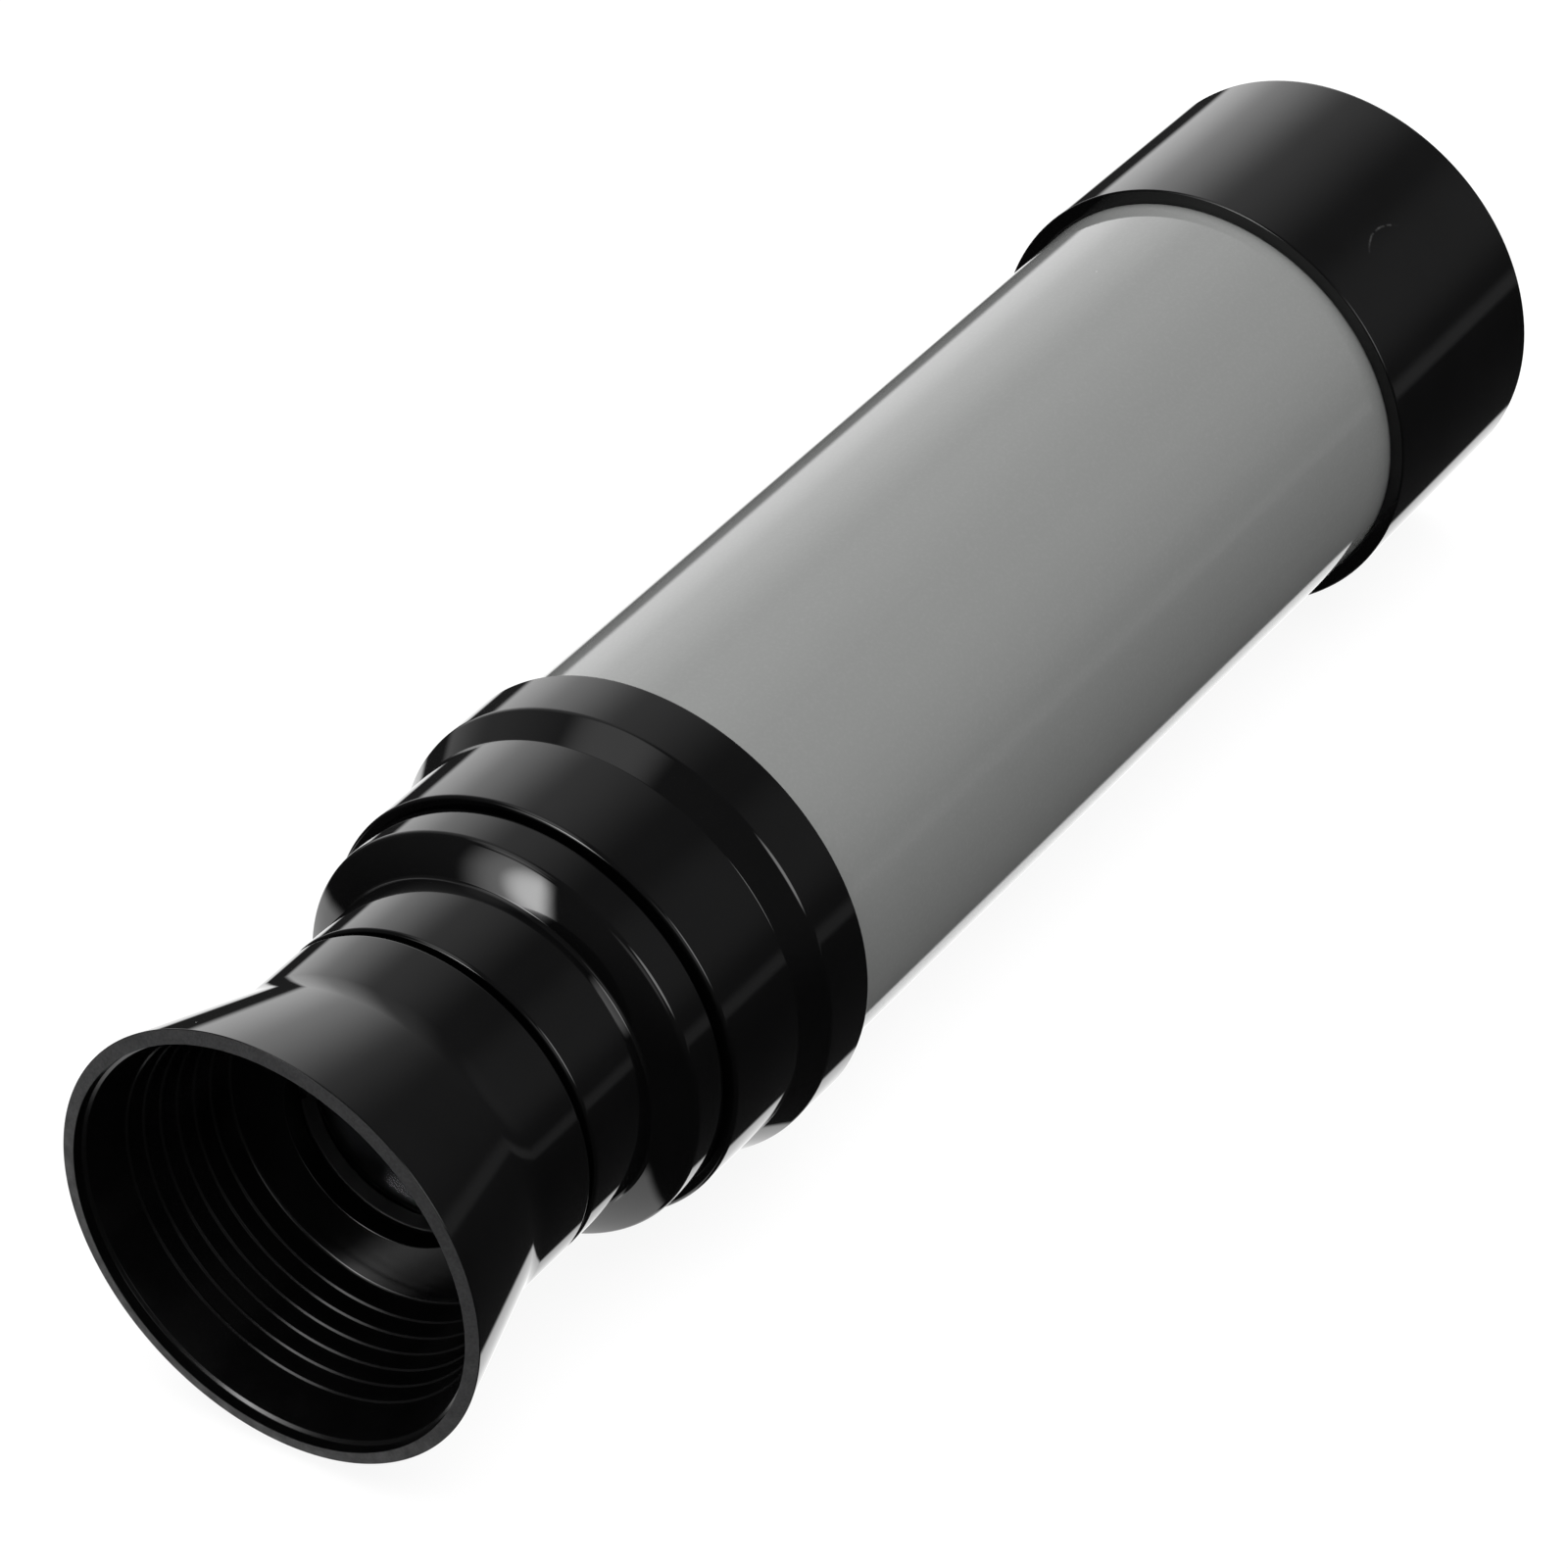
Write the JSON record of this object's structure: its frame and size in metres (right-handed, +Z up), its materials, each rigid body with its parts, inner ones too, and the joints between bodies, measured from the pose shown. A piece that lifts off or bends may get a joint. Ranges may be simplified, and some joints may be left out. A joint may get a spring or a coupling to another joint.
{
  "type": "draw telescope",
  "caption": "Hand-held draw telescope pushed together: grey barrel, black objective hood, stepped black collars with sliding draw tubes, and a flared eyecup.",
  "frame": {"origin": "on the surface the closed telescope lies on, below the middle of its length", "axes": "+X along the optical axis from the eyecup to the objective, +Z up, +Y to the left looking along +X"},
  "size_m": [0.1684, 0.0428, 0.0428],
  "materials": {
    "gloss_black": "polished black moulding",
    "gloss_grey": "smooth glossy grey",
    "matt_black": "matt black, to kill stray light",
    "black_tube": "black anodised, satin",
    "felt": "pressed felt",
    "nylon": "natural nylon",
    "lens_glass": "polished optical glass, thin anti-reflection coat"
  },
  "bodies": {
    "barrel": {"main_barrel": "gloss_grey", "rear_collar": "gloss_black", "rear_collar_liner": "felt", "objective_hood": "gloss_black", "objective_cell": "matt_black", "objective_flint_lens": "lens_glass", "objective_crown_lens": "lens_glass", "objective_retaining_ring": "matt_black"},
    "draw_1_bush": {"draw_1_guide_bush": "nylon"},
    "draw_1": {"draw_tube_1": "black_tube", "draw_1_baffle": "matt_black", "draw_collar": "gloss_black", "draw_collar_liner": "felt"},
    "draw_2_bush": {"draw_2_guide_bush": "nylon"},
    "draw_2": {"draw_tube_2": "black_tube", "erector_tube": "matt_black", "erector_rear_lens": "lens_glass", "erector_spacer": "matt_black", "erector_front_lens": "lens_glass", "erector_retaining_ring": "matt_black", "eyecup": "gloss_black", "eyepiece_barrel": "matt_black", "eye_lens_ring": "matt_black", "eye_lens": "lens_glass", "eyepiece_spacer": "matt_black", "field_stop": "matt_black", "field_lens": "lens_glass"}
  },
  "joints": [
    {"name": "draw_1_slide", "type": "slide", "parent": "barrel", "child": "draw_1_bush", "axis": [-1, 0, 0], "range_m": [0, 0.08]},
    {"name": "draw_1_turn", "type": "hinge", "parent": "draw_1_bush", "child": "draw_1", "pos_m": [-0.06215, 0, 0.0214], "axis": [1, 0, 0], "continuous": true},
    {"name": "draw_2_slide", "type": "slide", "parent": "draw_1", "child": "draw_2_bush", "axis": [-1, 0, 0], "range_m": [0, 0.08]},
    {"name": "draw_2_turn", "type": "hinge", "parent": "draw_2_bush", "child": "draw_2", "pos_m": [-0.08415, 0, 0.0214], "axis": [1, 0, 0], "continuous": true}
  ]
}
